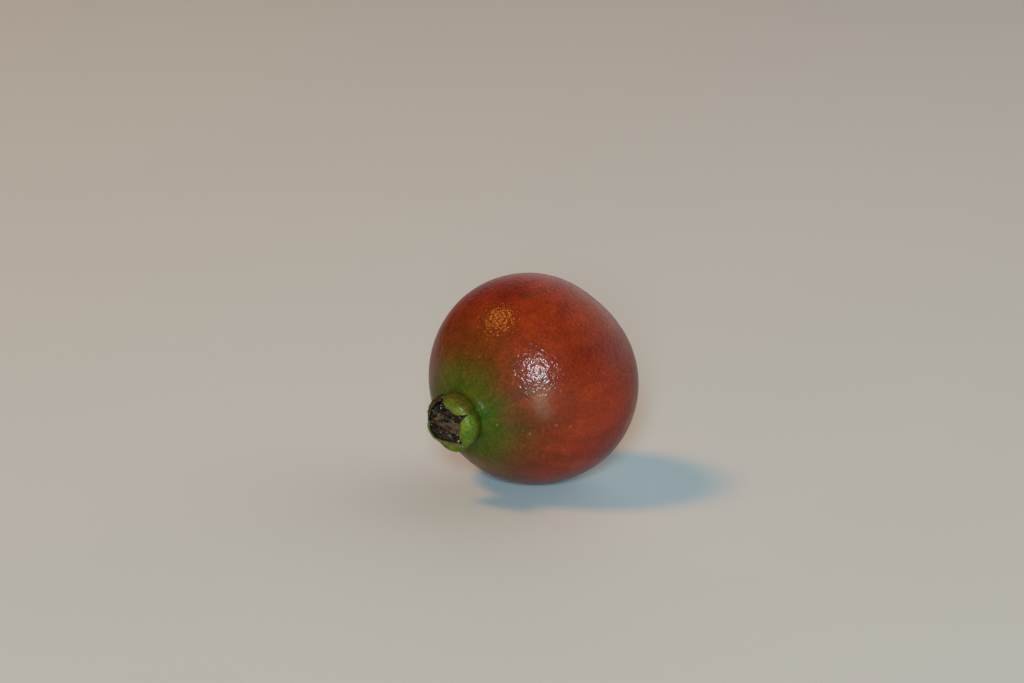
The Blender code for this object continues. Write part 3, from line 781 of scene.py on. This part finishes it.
def makeSkinMaterial(layDown):
    material, tree, shader = newMaterial("guavaSkin")
    look, place = skinLook, objectPlace(tree)
    away = awayFrom(tree, place, layDown @ ringPoint(*look["zoneMiddle"]))
    streaks = cloud(tree, attributeOf(tree, "flow", "Vector"), look["streakSize"], 3.0, 0.6)
    broad = cloud(tree, place, look["broadSize"], 3.0)
    medium = cloud(tree, place, look["mediumSize"], 3.0, 0.6)
    fine = cloud(tree, place, look["fineSize"], 2.0, 0.6)

    # the colour changes from the green about the crown to the red
    reach = away
    for pattern, name in ((broad, "broadShift"), (medium, "mediumShift"), (streaks, "streakShift")):
        shift = calc(tree, "MULTIPLY", calc(tree, "SUBTRACT", pattern, 0.5), look[name])
        reach = calc(tree, "ADD", reach, shift)
    farthest = look["zones"][-1][0]
    stops = [(distance / farthest, colour) for distance, colour in look["zones"]]
    base = colourRamp(tree, calc(tree, "DIVIDE", reach, farthest * 0.001), stops)
    red = rangeOf(tree, reach, *look["redFrom"])
    orange = rangeOf(tree, cloud(tree, place, look["orangeSize"]), 0.42, 0.62)
    base = blendColour(tree, calc(tree, "MULTIPLY", red, orange), base, look["orangeRed"])
    deep = cloud(tree, place, look["deepSize"], 4.0, 0.65)
    deep = rangeOf(tree, deep, 0.50, 0.72, 0.0, look["deepShare"])
    base = blendColour(tree, calc(tree, "MULTIPLY", red, deep), base, look["deepRed"])
    for clock, polar, radius, colour, strength in look["marks"]:
        blur = calc(tree, "MULTIPLY", calc(tree, "SUBTRACT", medium, 0.5), radius * 0.0022)
        spot = calc(tree, "ADD", awayFrom(tree, place, layDown @ bodyPoint(clock, polar)), blur)
        base = blendColour(tree, rangeOf(tree, spot, 0.0, radius * 0.0013, strength, 0.0), base, colour)
    for pattern, name in ((streaks, "streakShade"), (medium, "mediumShade"), (fine, "fineShade")):
        base = shaded(tree, base, rangeOf(tree, pattern, 0.30, 0.70, *look[name]))
    dots = rangeOf(tree, cells(tree, place, look["dotSpacing"])["Distance"], *look["dotRadius"],
                   look["dotStrength"], 0.0)
    dots = calc(tree, "MULTIPLY", dots, rangeOf(tree, reach, *look["dotFade"], 1.0, look["redDots"]))
    base = blendColour(tree, dots, base, look["dotColour"])

    # the lobes, the inside of the cup and the stem scar
    inside, tip = attributeOf(tree, "cupInside"), attributeOf(tree, "lobeTip")
    dry, green = attributeOf(tree, "lobeDry"), attributeOf(tree, "lobeGreen")
    lobeGreen = blendColour(tree, rangeOf(tree, medium, 0.35, 0.65), *look["lobeGreens"])
    lobeGreen = shaded(tree, lobeGreen, rangeOf(tree, fine, 0.32, 0.66, *look["lobeShade"]))
    crumbly = rangeOf(tree, calc(tree, "ADD", medium, fine), 0.80, 1.15)
    lobeBrown = blendColour(tree, crumbly, *look["lobeBrowns"])
    brown = calc(tree, "MULTIPLY", dry, rangeOf(tree, tip, 0.02, 0.30))
    base = blendColour(tree, brown, base, lobeBrown)
    base = blendColour(tree, green, base, lobeGreen)
    base = blendColour(tree, attributeOf(tree, "lobeTan"), base, look["lobeTan"])
    cupBrown = blendColour(tree, rangeOf(tree, fine, 0.35, 0.65), *look["cupBrowns"])
    base = blendColour(tree, rangeOf(tree, inside, 0.50, 0.80), base, cupBrown)
    scarMiddle = Vector((0.0, 0.0, look["corkHeight"] - bodyForm["stemEndHeight"]))
    stemEnd = awayFrom(tree, place, layDown @ scarMiddle)
    frayed = calc(tree, "ADD", stemEnd, calc(tree, "MULTIPLY", medium, 0.0008))
    cork = rangeOf(tree, frayed, *look["corkEdge"], 1.0, 0.0)
    corkBrown = blendColour(tree, rangeOf(tree, fine, 0.30, 0.70), *look["corkBrowns"])
    corkBrown = shaded(tree, corkBrown, rangeOf(tree, stemEnd, *look["pitEdge"], look["pitShade"], 1.0))
    base = blendColour(tree, cork, base, corkBrown)
    tree.links.new(base, shader.inputs["Base Color"])

    # gloss and pebbling
    dryTip = calc(tree, "MULTIPLY", dry, tip)
    dull = calc(tree, "MAXIMUM", calc(tree, "MAXIMUM", cork, inside), dryTip, clamp=True)
    roughness = rangeOf(tree, dull, 0.0, 1.0, look["roughness"], look["dullRoughness"])
    tree.links.new(roughness, shader.inputs["Roughness"])
    gloss = rangeOf(tree, away, *look["glossFrom"], look["greenGloss"])
    gloss = calc(tree, "MULTIPLY", gloss, rangeOf(tree, dull, 0.0, 1.0, look["coat"], 0.0))
    tree.links.new(gloss, shader.inputs["Coat Weight"])
    shader.inputs["Coat Roughness"].default_value = look["coatRoughness"]
    shader.inputs["Specular IOR Level"].default_value = look["specular"]
    pebbles = cloud(tree, place, look["pebble"], 1.0)
    calm = rangeOf(tree, tip, 0.0, 0.4, 1.0, look["lobeRelief"])
    for socket, relief in (("Normal", look["baseRelief"]), ("Coat Normal", look["coatRelief"])):
        tree.links.new(addBump(tree, pebbles, relief, calm), shader.inputs[socket])
    return material


fibreLook = {
    "bitSize": 0.28,      # in mm
    # blackened, dark, brown, rusty and pale bits: share so far, and colour
    "bits": ((0.0, (0.003, 0.002, 0.002)), (0.48, (0.010, 0.007, 0.005)),
             (0.62, (0.028, 0.016, 0.008)), (0.78, (0.080, 0.050, 0.024)),
             (0.90, (0.080, 0.026, 0.009)), (1.0, (0.32, 0.250, 0.150))),
    "specular": 0.25,
    "roughness": (0.25, 0.70),    # of the blackened bits, and of the others
    "grain": 0.12,
    "relief": 0.00003,
    "reliefShare": 0.8,
}


def makeFibreMaterial():
    material, tree, shader = newMaterial("driedFibre")
    look, place = fibreLook, objectPlace(tree)
    pick = addNode(tree, "SeparateColor", {0: cells(tree, place, look["bitSize"])["Color"]}).outputs[0]
    tree.links.new(colourRamp(tree, pick, look["bits"]), shader.inputs["Base Color"])
    shader.inputs["Specular IOR Level"].default_value = look["specular"]
    tree.links.new(rangeOf(tree, pick, 0.1, 0.6, *look["roughness"]), shader.inputs["Roughness"])
    grain = cloud(tree, place, look["grain"])
    bump = addBump(tree, grain, look["relief"], look["reliefShare"])
    tree.links.new(bump, shader.inputs["Normal"])
    return material


paperyLook = {
    "patchSize": 0.5,     # in mm, across the fibres
    "browns": ((0.34, (0.014, 0.008, 0.005)), (0.48, (0.070, 0.038, 0.018)),
               (0.66, (0.155, 0.080, 0.040))),
    "roughness": 0.7,
    "specular": 0.2,
    "relief": 0.00004,
    "reliefShare": 0.6,
}


def makePaperyMaterial():
    material, tree, shader = newMaterial("paperyStrap")
    look = paperyLook
    patches = cloud(tree, attributeOf(tree, "grain", "Vector"), look["patchSize"], 4.0, 0.65)
    tree.links.new(colourRamp(tree, patches, look["browns"]), shader.inputs["Base Color"])
    shader.inputs["Roughness"].default_value = look["roughness"]
    shader.inputs["Specular IOR Level"].default_value = look["specular"]
    bump = addBump(tree, patches, look["relief"], look["reliefShare"])
    tree.links.new(bump, shader.inputs["Normal"])
    return material


# pale grey of the scraps; on the second scrap it is a painted highlight
scrapAndGlintLook = {
    "greys": ((0.16, 0.15, 0.16), (0.36, 0.34, 0.37)),
    "patchSize": 0.2,
    "roughness": 0.4,
}


def makeScrapAndGlintMaterial():
    material, tree, shader = newMaterial("paleScrapAndGlint")
    patches = cloud(tree, objectPlace(tree), scrapAndGlintLook["patchSize"])
    tree.links.new(blendColour(tree, patches, *scrapAndGlintLook["greys"]), shader.inputs["Base Color"])
    shader.inputs["Roughness"].default_value = scrapAndGlintLook["roughness"]
    return material


# Floor, camera and light

floorLook = {
    "halfWidth": 4.0,
    "tones": ((0.615, 0.700, 0.700), (0.645, 0.730, 0.730)),
    "toneSize": 60.0,     # in mm
    "roughness": 0.75,
}


def makeStage():
    form = bmesh.new()
    bmesh.ops.create_grid(form, x_segments=1, y_segments=1, size=floorLook["halfWidth"])
    floor = finishForm(form, "floor", Matrix.Identity(4))
    material, tree, shader = newMaterial("paleFloor")
    patches = cloud(tree, objectPlace(tree), floorLook["toneSize"], 3.0)
    tree.links.new(blendColour(tree, patches, *floorLook["tones"]), shader.inputs["Base Color"])
    shader.inputs["Roughness"].default_value = floorLook["roughness"]
    floor.data.materials.append(material)


cameraPlace = {
    "azimuth": 42.0,        # degrees round from looking along +Y
    "elevation": 15.0,
    "distance": 0.41,
    "lens": 100.0,
    "sensor": 36.0,
    "aimPixels": (-21.0, 37.5),    # picture centre from the fruit's middle, right and up
    "imageWidth": 1024.0,
}


def cameraAxes():
    azimuth, elevation = math.radians(cameraPlace["azimuth"]), math.radians(cameraPlace["elevation"])
    back = Vector((math.sin(azimuth) * math.cos(elevation), -math.cos(azimuth) * math.cos(elevation),
                   math.sin(elevation)))
    right = Vector((math.cos(azimuth), math.sin(azimuth), 0.0))
    return right, back.cross(right), back


def makeCamera(middle):
    right, up, back = cameraAxes()
    c = cameraPlace
    pixel = c["distance"] * c["sensor"] / c["lens"] / c["imageWidth"]
    aim = middle + right * (c["aimPixels"][0] * pixel) + up * (c["aimPixels"][1] * pixel)
    camera = bpy.data.objects.new("camera", bpy.data.cameras.new("camera"))
    bpy.context.scene.collection.objects.link(camera)
    camera.data.lens, camera.data.sensor_width = c["lens"], c["sensor"]
    camera.location = middle + back * c["distance"]
    camera.rotation_euler = (aim - camera.location).to_track_quat("-Z", "Y").to_euler()
    bpy.context.scene.camera = camera


# direction in the picture as right, up and towards the camera, then distance, size, power, colour
studioLights = {
    "windowLight": ((-0.03, 0.065, 0.99), 2.5, (0.42, 0.70), 69.0, (0.63, 0.88, 1.0)),
    "warmLamp": ((-0.548, 0.807, 0.225), 2.0, (0.54, 0.46), 15.5, (1.0, 0.37, 0.05)),
}

roomLight = {
    "colour": (1.0, 0.94, 0.90),
    "brightWay": (0.70, 0.25, -0.67),    # the room's bright side, as right, up and towards the camera
    "bright": 0.86,
    "dim": 0.02,
    "edges": (0.20, 0.90),
}


def acrossPicture(way):    # a direction given as right, up and towards the camera
    return sum((axis * share for axis, share in zip(cameraAxes(), way)), Vector()).normalized()


def makeLights(middle):
    for name, (direction, distance, size, power, colour) in studioLights.items():
        lamp = bpy.data.objects.new(name, bpy.data.lights.new(name, "AREA"))
        bpy.context.scene.collection.objects.link(lamp)
        lamp.data.shape = "RECTANGLE"
        lamp.data.size, lamp.data.size_y = size
        lamp.data.energy, lamp.data.color = power, colour
        lamp.location = middle + acrossPicture(direction) * distance
        lamp.rotation_euler = (middle - lamp.location).to_track_quat("-Z", "Y").to_euler()
    world = bpy.data.worlds.new("softRoom")
    world.use_nodes = True
    tree, r = world.node_tree, roomLight
    ways = {0: addNode(tree, "TexCoord", {}).outputs["Generated"], 1: acrossPicture(r["brightWay"])}
    facing = addNode(tree, "VectorMath", ways, operation="DOT_PRODUCT").outputs["Value"]
    background = tree.nodes["Background"]
    background.inputs["Color"].default_value = (*r["colour"], 1.0)
    strength = rangeOf(tree, facing, *r["edges"], r["dim"], r["bright"])
    tree.links.new(strength, background.inputs["Strength"])
    bpy.context.scene.world = world


bpy.context.scene.view_settings.view_transform = "Standard"
skin, layDown = makeFruit()
standFor(skin, "fruit", makeSkinMaterial(layDown))
print("fruit skin:", len(skin.data.vertices), "points")
fibre = makeFibreMaterial()
for piece in (makeDisc(layDown), makeStamens(layDown), makeAnthers(layDown)):
    standFor(piece, "dried_flower", fibre)
    print(piece.name + ":", len(piece.data.vertices), "points")
standFor(makeStraps(layDown), "dried_flower", makePaperyMaterial())
standFor(makeScrapsAndGlint(layDown), "dried_flower", makeScrapAndGlintMaterial())
print("straps and scraps are in the cup")
makeStage()
makeCamera(layDown.translation)
makeLights(layDown.translation)
print("stage, camera and lights are up")
